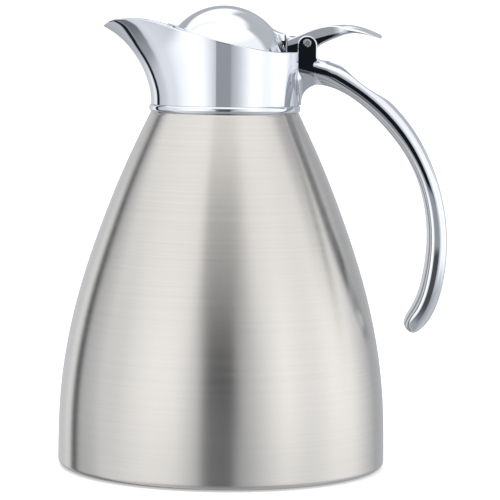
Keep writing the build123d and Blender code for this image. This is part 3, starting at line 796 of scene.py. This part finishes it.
def handle_edge(x, z, offset, past, half_depth, flats):
    """The bar and the ears seen from the side, and how round their edges are."""
    flat_out, flat_in = flats
    top_edge = blend_cut(offset - half_depth, past, END_ROUNDING)
    low_edge = blend_cut(-offset - half_depth, past, END_ROUNDING)
    outer = offset > (flat_out - flat_in) / 2
    bar = np.where(outer, top_edge, low_edge)
    bar_corner = half_depth - np.where(outer, flat_out, flat_in)
    ear_z = np.clip(z, EAR_LOW_Z, EAR_TOP_Z - EAR_RADIUS)
    ear = np.hypot(x - EAR_CENTRE_X, z - ear_z) - EAR_RADIUS
    upper = np.minimum(ear, box_plan(x, z, ROOT_LOW, ROOT_HIGH))
    near_bar = np.exp(-np.clip(bar, -3, 20) / CORNER_REACH)
    near_upper = np.exp(-np.clip(upper, -3, 20) / CORNER_REACH)
    corner = (near_bar * bar_corner + near_upper * EAR_CORNER) / (near_bar + near_upper)
    above_root = smooth_step(z, *EARS_START_Z)
    sharpest = EAR_CORNER + SADDLE_CORNER_GAIN * smooth_step(x, *EARS_END_X)
    corner = corner * (1 - above_root) + above_root * np.minimum(corner, sharpest)
    return blend_union(bar, upper, ROOT_BLEND), corner


def web_body(x, y, z, side, crease):
    """The web under the root, which steps in from the handle's side at the crease."""
    outline = np.maximum(x - WEB_END_X, z - WEB_TOP_Z)
    outline = np.maximum(outline, WEB_CENTRE[1] + WEB_LOW_RISE - z)
    from_arch = WEB_RADIUS - np.hypot(np.minimum(x - WEB_CENTRE[0], 0), z - WEB_CENTRE[1])
    outline = np.maximum(np.maximum(outline, from_arch), WEB_START_X - x)
    width = side - WEB_LEAN * crease**2 - WEB_STEP * (1 - smooth_step(crease, 0.0, WEB_STEP_DEPTH))
    width = width - WEB_NARROWING * np.maximum(x - WEB_NARROWS_X, 0) ** 2
    return np.maximum(plate(outline, y, WEB_HALF_WIDTH, WEB_CORNER), np.abs(y) - width)


def handle_field(points):
    x, y, z = points.T
    place, offset, past = along_bar(HANDLE, x, z)
    half_depth, half_width, *flats = HANDLE.at(place)[:, 2:].T
    edge, corner = handle_edge(x, z, offset, past, half_depth, flats)
    share = smooth_step(x, *BAR_DRAFT_X)
    draft = (1 - share) * (z - ROOT_MIDDLE_Z) + share * offset
    slant = FLAT_DRAFT + (END_DRAFT - FLAT_DRAFT) * smooth_step(place, *DRAFT_CHANGE)
    crease = np.maximum(CREASE_START[1] - CREASE_FALL * (x - CREASE_START[0]) - z, 0)
    crease = crease * (1 - smooth_step(x, *CREASE_END_X))
    side = half_width - draft * slant - crease * CREASE
    body = plate(edge, y, side, corner)
    body = blend_union(body, web_body(x, y, z, side, crease), WEB_BLEND)
    slot = np.maximum(np.abs(y) - EAR_INNER, SADDLE_Z - z)
    slot = np.maximum(slot, np.maximum(SLOT_START_X - x, x - SLOT_END_X))
    body = blend_cut(body, -slot, SLOT_BLEND)
    scoop = SCOOP_RADIUS - np.hypot(x - SCOOP_CENTRE[0], z - SCOOP_CENTRE[1])
    body = blend_cut(body, scoop, SCOOP_BLEND)
    collar = np.hypot(x, y) - COLLAR_RADIUS
    band = np.maximum(collar, np.maximum(z - BAND_TOP_Z, BAND_LOW_Z - z))
    body = blend_union(body, band, BAND_BLEND + BAND_BLEND_GAIN * smooth_step(z, *BAND_BLEND_Z))
    body = np.maximum(body, COLLAR_OVERLAP - collar)
    return drill_pin(body, x, z, HANDLE_HOLE_RADIUS)


handle_box = (30, -11.2, 61), (103.5, 11.2, 199)
handle = solid_from_field("handle_casting", handle_field, *handle_box, 0.36, chrome)
stand_for(handle, "handle", "pot")

# ---------------------------------------------------------------- lever

# Centre of the section, half depth, half width, and the radius of its top and low edges
LEVER = Curve(
    [
        (38.0, 195.2, 3.9, 5.9, 0.5, 0.8),
        (44.0, 197.6, 3.6, 5.9, 0.5, 1.0),
        (50.0, 199.4, 2.9, 6.2, 0.6, 1.1),
        (56.5, 200.4, 1.95, 6.9, 0.9, 0.8),
        (62.5, 199.7, 1.5, 7.1, 0.9, 0.6),
        (67.5, 198.2, 1.15, 6.8, 0.7, 0.5),
        (71.0, 196.9, 0.9, 5.9, 0.6, 0.5),
    ]
)
LEVER_TOP_ROUNDING = 1.2
LEVER_LOW_ROUNDING = 1.0
LEVER_DOME_RADIUS = 11.0
LEVER_DOME_X = (46.0, 56.0)
# Fork round the lid's tail, closed at the front by a bridge under the tail
FORK_INNER = 3.8
FORK_END_X = 43.2
BRIDGE_X = (30.4, 32.0)
BRIDGE_TOP_Z = 194.35
# Ridge along the hub's side: the side leans in more above it, and not at all on the blade
RIDGE_START = (50.8, 198.7)
RIDGE_SLOPE = 0.27
RIDGE_BASE = 2.0
RIDGE_END_X = (51.0, 60.0)
LOWER_DRAFT = tan(radians(4.5))
UPPER_DRAFT = tan(radians(15))
HUB_BLEND = 1.2
HUB = [
    (29.2, 192.4),
    (29.8, 194.2),
    (34.4, 197.2),
    (39.5, 199.6),
    (43.6, 200.8),
    (43.8, 194.4),
    (41.5, 191.6),
    (38.0, 190.6),
    (32.8, 191.1),
    (29.6, 191.1),
]


def lever_field(points):
    x, y, z = points.T
    place, offset, past = along_bar(LEVER, x, z)
    half_depth, half_width, top_corner, low_corner = LEVER.at(place)[:, 2:].T
    crown = y**2 / (2 * LEVER_DOME_RADIUS) * smooth_step(x, *LEVER_DOME_X)
    bar = blend_cut(offset - half_depth + crown, past, LEVER_TOP_ROUNDING)
    bar = np.maximum(bar, blend_cut(-offset - half_depth, past, LEVER_LOW_ROUNDING))
    edge = blend_union(bar, polygon_plan(x, z, HUB), HUB_BLEND)
    corner = low_corner + (top_corner - low_corner) * smooth_step(offset, -1.0, 1.0)
    ridge = z - RIDGE_START[1] - (x - RIDGE_START[0]) * RIDGE_SLOPE
    lean = LOWER_DRAFT * (ridge + RIDGE_BASE) + (UPPER_DRAFT - LOWER_DRAFT) * np.maximum(ridge, 0)
    lean = lean * (1 - smooth_step(x, *RIDGE_END_X))
    body = plate(edge, y, half_width - lean, corner)
    slot = np.maximum(np.abs(y) - FORK_INNER, x - FORK_END_X)
    bridge = np.maximum(np.maximum(BRIDGE_X[0] - x, x - BRIDGE_X[1]), z - BRIDGE_TOP_Z)
    body = blend_cut(body, -np.maximum(slot, -bridge), 0.4)
    return drill_pin(body, x, z, TURNING_HOLE_RADIUS)


lever_box = (28, -8, 189.5), (73.2, 8, 204)
lever = solid_from_field("thumb_lever", lever_field, *lever_box, 0.22, chrome)
stand_for(lever, "lever", "lever")

# ---------------------------------------------------------------- lid

DOME_CENTRE = np.array([-0.5, 0.0, 182.0])
DOME_RADIUS = 28.5
DOME_WALL = 1.2
BRIM_RADIUS = 28.8
BRIM_THICKNESS = 1.2
BRIM_CORNER = 0.45
BRIM_BLEND = 0.7
BRIM_CENTRE = np.array([0.9, 0.0, 193.2])
BRIM_SLOPE = radians(18.3)
BRIM_UP = np.array([sin(BRIM_SLOPE), 0.0, np.cos(BRIM_SLOPE)])
# Tail: wider where it meets the dome
TAIL_HALF_WIDTH = 3.6
TAIL_WIDENING = 3.6
TAIL_WIDENS_X = (21.5, 27.0)
TAIL_MIDDLE_Z = 196.0
TAIL_CORNER = 0.9
TAIL_BLEND = 1.4
# The tail goes this far under the brim's plane. It is also cut away past TAIL_CUT_X, more and more
# steeply, so it ends near x = 27.5 and doesn't reach the hinge. That is a fault.
TAIL_UNDER_BRIM = 0.2
TAIL_CUT_X = 26.0
TAIL_CUT_SLOPE = 9
# Half length and half width of the gap for the spring, round the pin
SPRING_GAP = (4.0, 2.3)
POST_X = 27.95
POST_RADIUS = 1.55
POST_Z = (188.6, 196.0)
TAIL = [
    (14.0, 199.0),
    (20.0, 200.2),
    (22.6, 199.5),
    (25.3, 198.5),
    (29.4, 198.2),
    (34.5, 198.1),
    (37.6, 197.6),
    (40.2, 195.8),
    (40.6, 193.6),
    (39.5, 191.4),
    (37.1, 190.7),
    (34.8, 191.6),
    (33.8, 194.55),
    (27.2, 194.55),
    (25.6, 192.6),
    (24.8, 190.8),
    (14.0, 191.5),
]


def lid_field(points):
    x, y, z = points.T
    from_centre = np.linalg.norm(points - DOME_CENTRE, axis=1)
    above = (points - BRIM_CENTRE) @ BRIM_UP
    flat = points - BRIM_CENTRE - above[:, None] * BRIM_UP
    radial = np.linalg.norm(flat, axis=1)
    cap = np.maximum(from_centre - DOME_RADIUS, -above - BRIM_THICKNESS / 2)
    brim = plate(radial - BRIM_RADIUS, above + BRIM_THICKNESS / 2, BRIM_THICKNESS / 2, BRIM_CORNER)
    body = blend_union(cap, brim, BRIM_BLEND)
    width = TAIL_HALF_WIDTH + TAIL_WIDENING * (1 - smooth_step(x, *TAIL_WIDENS_X))
    width = width - LOWER_DRAFT * (z - TAIL_MIDDLE_Z)
    tail = plate(polygon_plan(x, z, TAIL), y, width, TAIL_CORNER)
    cut = np.maximum(0, x - TAIL_CUT_X) * TAIL_CUT_SLOPE
    tail = np.maximum(tail, -above - TAIL_UNDER_BRIM + cut)
    body = blend_union(body, tail, TAIL_BLEND)
    post = np.maximum(np.hypot(x - POST_X, y) - POST_RADIUS, np.maximum(POST_Z[0] - z, z - POST_Z[1]))
    body = np.minimum(body, post)
    body = np.maximum(body, DOME_RADIUS - DOME_WALL - from_centre)
    gap = np.maximum(np.abs(y) - SPRING_GAP[1], np.abs(x - PIN[0]) - SPRING_GAP[0])
    body = np.maximum(body, -gap)
    return drill_pin(body, x, z, TURNING_HOLE_RADIUS)


lid_box = (-29.5, -29, 187.6), (42.5, 29, 212)
lid = solid_from_field("lid_dome_cover", lid_field, *lid_box, 0.34, chrome)
stand_for(lid, "lid_dome", "lid")

# ---------------------------------------------------------------- spring

WIRE_RADIUS = 0.35
WIRE_SIDES = 14
COIL_RADIUS = 2.6
COIL_PITCH = 0.78
COIL_TURNS = 4.25
COIL_HALF = COIL_PITCH * COIL_TURNS / 2
LID_LEG_LENGTH = 8.0
HANDLE_LEG_LENGTH = 8.4


def wire_mesh(name, path):
    """Round wire along a path, closed at both ends."""
    path = np.array(path, float)
    along = np.gradient(path, axis=0)
    along /= np.linalg.norm(along, axis=1)[:, None]
    side = np.cross(along[0], (0.3, 0.8, 0.5))
    rings = []
    angles = 2 * pi * np.arange(WIRE_SIDES) / WIRE_SIDES
    for place, direction in zip(path, along):
        side = side - direction * (side @ direction)
        side = side / np.linalg.norm(side)
        other = np.cross(direction, side)
        around = np.cos(angles)[:, None] * side + np.sin(angles)[:, None] * other
        rings.append(place + WIRE_RADIUS * around)
    faces = []
    for ring in range(len(rings) - 1):
        low, high = ring * WIRE_SIDES, (ring + 1) * WIRE_SIDES
        for step in range(WIRE_SIDES):
            following = (step + 1) % WIRE_SIDES
            faces.append((low + step, low + following, high + following, high + step))
    last = (len(rings) - 1) * WIRE_SIDES
    faces.append(tuple(range(WIRE_SIDES))[::-1])
    faces.append(tuple(range(last, last + WIRE_SIDES)))
    return make_mesh(name, np.concatenate(rings), faces, plain_steel, sharp=40)


def coil_path():
    """The coil round the pin, and then the leg down into the handle's root."""
    angles = np.linspace(0, 2 * pi * COIL_TURNS, 170)
    x = PIN[0] + COIL_RADIUS * np.sin(angles)
    y = COIL_HALF - COIL_PITCH * angles / (2 * pi)
    z = PIN[1] + COIL_RADIUS * np.cos(angles)
    leg = [(x[-1], y[-1], PIN[1] - down) for down in np.linspace(0.4, HANDLE_LEG_LENGTH, 12)]
    return list(zip(x, y, z)) + leg


def lid_leg_path():
    """The leg along the lid's tail, up to where the coil starts."""
    shares = np.linspace(0, 1, 10)
    return [(PIN[0] - LID_LEG_LENGTH * (1 - t), COIL_HALF, PIN[1] + COIL_RADIUS) for t in shares]


# One spring in two pieces, so that its lid leg moves with the lid and its coil stays on the pot
spring_coil = wire_mesh("spring_coil", coil_path())
stand_for(spring_coil, "lid_spring", "pot")
spring_leg = wire_mesh("spring_leg", lid_leg_path())
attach(spring_leg, "lid")

# ---------------------------------------------------------------- studio

FLOOR_HALF = 12.0
floor_corners = [(-FLOOR_HALF, -FLOOR_HALF, 0), (FLOOR_HALF, -FLOOR_HALF, 0)]
floor_corners += [(FLOOR_HALF, FLOOR_HALF, 0), (-FLOOR_HALF, FLOOR_HALF, 0)]
floor_mesh = bpy.data.meshes.new("floor")
floor_mesh.from_pydata(floor_corners, [], [(0, 1, 2, 3)])
floor = bpy.data.objects.new("floor", floor_mesh)
bpy.context.scene.collection.objects.link(floor)
floor_material, floor_nodes, floor_shader = principled("floor_paper")
floor_shader.inputs["Base Color"].default_value = (0.9, 0.9, 0.9, 1)
floor_shader.inputs["Roughness"].default_value = 0.9
floor_shader.inputs["Emission Color"].default_value = (1, 1, 1, 1)
floor_shader.inputs["Emission Strength"].default_value = 0.35
floor_mesh.materials.append(floor_material)
floor.visible_glossy = False

world = bpy.data.worlds.new("studio")
world.use_nodes = True
bpy.context.scene.world = world
studio = Nodes(world.node_tree)
world_output = studio.add("ShaderNodeOutputWorld")
background = studio.add("ShaderNodeBackground")
studio.join(background.outputs[0], world_output.inputs[0])
direction = studio.add("ShaderNodeTexCoord")
parts = studio.add("ShaderNodeSeparateXYZ")
studio.join(direction.outputs["Generated"], parts.inputs[0])
across, ahead, rise = parts.outputs

# A direction's turn in degrees from the front towards the handle side, how far it is from the
# front either way, and its height in degrees above the horizon
to_front = studio.math("MULTIPLY", ahead, -1)
turn = studio.math("MULTIPLY", studio.math("ARCTAN2", across, to_front), 180 / pi)
off_front = studio.math("ABSOLUTE", turn)
height = studio.math("MULTIPLY", studio.math("ARCSINE", rise), 180 / pi)

# Brightness of the studio's wall and of the ground, by the turn
WALL = [
    (-180, 0.62),
    (-146, 0.8),
    (-136, 1.15),
    (-130.5, 0.95),
    (-129.5, 0.02),
    (-121.5, 0.02),
    (-120.5, 0.7),
    (-104, 0.82),
    (-94, 1.0),
    (-80, 1.02),
    (-66, 1.25),
    (-50, 1.42),
    (-34, 1.42),
    (-26, 1.2),
    (-19, 0.95),
    (-14, 0.78),
    (-13, 0.41),
    (9, 0.41),
    (10, 0.54),
    (20, 0.76),
    (38, 1.3),
    (47, 1.5),
    (64, 1.28),
    (74, 1.3),
    (88, 1.5),
    (106, 1.45),
    (124, 0.95),
    (140, 0.56),
    (180, 0.62),
]
GROUND = [
    (-180, 0.5),
    (-160, 0.52),
    (-134, 0.66),
    (-130.5, 0.5),
    (-129.5, 0.02),
    (-121.5, 0.02),
    (-120.5, 0.4),
    (-100, 0.42),
    (-95, 0.85),
    (-86, 0.95),
    (-60, 0.85),
    (-30, 0.6),
    (-12, 0.44),
    (12, 0.43),
    (50, 0.6),
    (90, 0.72),
    (120, 0.66),
    (150, 0.52),
    (180, 0.5),
]
COOL = (0.93, 0.985, 1.08)
BRIGHTEST = 1.6


def greys(rows):
    """Ramp stops from turns and brightness; the darker greys are a little blue."""
    stops = []
    for angle, value in rows:
        grey = value / BRIGHTEST
        colour = [grey * (1 + (channel - 1) * (1 - grey)) for channel in COOL]
        stops.append(((angle + 180) / 360, colour))
    return stops


def patch(by_turn=(), by_height=(), either_way=()):
    """Share of a patch of the studio; each edge fades from nothing to full between its two values."""
    edges = [(turn, edge) for edge in by_turn] + [(off_front, edge) for edge in either_way]
    edges += [(height, edge) for edge in by_height]
    return studio.times(*[studio.step(value, *edge) for value, edge in edges])


def lay(light, patches):
    """The light with patches of colour laid over it in turn."""
    for share, colour in patches:
        light = studio.mix(share, light, colour)
    return light


low_card = patch(by_turn=[(-17, -6), (11, 8)], by_height=[(0.6, 2.4), (25, 18)])
side_card = patch(by_turn=[(0, 2), (14.5, 12.5)], by_height=[(-0.8, 1), (9, 7)])
black_card = studio.math("MAXIMUM", low_card, side_card)
front_roof = patch(either_way=[(125, 105)], by_height=[(43, 54)])
back_roof = patch(either_way=[(105, 125)], by_height=[(33, 41)])
roof = studio.math("MAXIMUM", front_roof, back_roof)
shade = patch(by_turn=[(-119, -117), (-96, -100)], by_height=[(-20, -52)])

around = studio.math("ADD", studio.math("DIVIDE", turn, 360), 0.5)
wall = lay(
    studio.ramp(around, greys(WALL)),
    [
        # the front wall's pale upper part
        (patch(either_way=[(125, 105)], by_height=[(14, 32)]), (0.76, 0.765, 0.775)),
        # a grey card high in the middle
        (patch(by_turn=[(-24, -14), (32, 10)], by_height=[(12, 24), (46, 38)]), (0.27, 0.275, 0.285)),
        # the back wall's grey upper part
        (patch(either_way=[(128, 138)], by_height=[(11, 17)]), (0.32, 0.33, 0.355)),
        (black_card, (0.006, 0.007, 0.009)),
        # a tall black card on the handle side
        (patch(by_turn=[(100, 102), (110, 108)], by_height=[(11, 19)]), (0.012, 0.013, 0.015)),
    ],
)
ground = lay(
    studio.ramp(around, greys(GROUND)),
    [(studio.times(shade, 0.55), (0.03, 0.032, 0.036))],
)
light = lay(
    studio.mix(studio.step(height, -8, -22), wall, ground),
    [
        # the black card's shadow on the ground
        (patch(by_turn=[(-17, -6), (11, 8)], by_height=[(-6, -8), (-28, -18)]), (0.055, 0.057, 0.06)),
        (roof, (0.9, 0.9, 0.9)),
        # a grey sheet high on the handle side
        (patch(by_turn=[(84, 100), (176, 160)], by_height=[(16, 26), (66, 54)]), (0.38, 0.39, 0.41)),
    ],
)
seen = studio.add("ShaderNodeLightPath")
light = studio.mix(seen.outputs["Is Camera Ray"], light, (0.8, 0.8, 0.8))
studio.join(light, background.inputs["Color"])
background.inputs["Strength"].default_value = BRIGHTEST

# ---------------------------------------------------------------- camera

LENS = 193.5
CAMERA_PLACE = (12.27, -1225.7, 211.2)
CAMERA_PITCH = radians(-5.228)
CAMERA_ROLL = radians(0.711)

camera_data = bpy.data.cameras.new("camera")
camera_data.sensor_width = 36
camera_data.lens = LENS
camera_data.clip_end = 50
camera = bpy.data.objects.new("camera", camera_data)
bpy.context.scene.collection.objects.link(camera)
camera_turn = Matrix.Rotation(radians(90) + CAMERA_PITCH, 4, "X") @ Matrix.Rotation(CAMERA_ROLL, 4, "Z")
camera.matrix_world = Matrix.Translation(Vector(CAMERA_PLACE) * MM) @ camera_turn
bpy.context.scene.camera = camera
bpy.context.scene.view_settings.view_transform = "Standard"
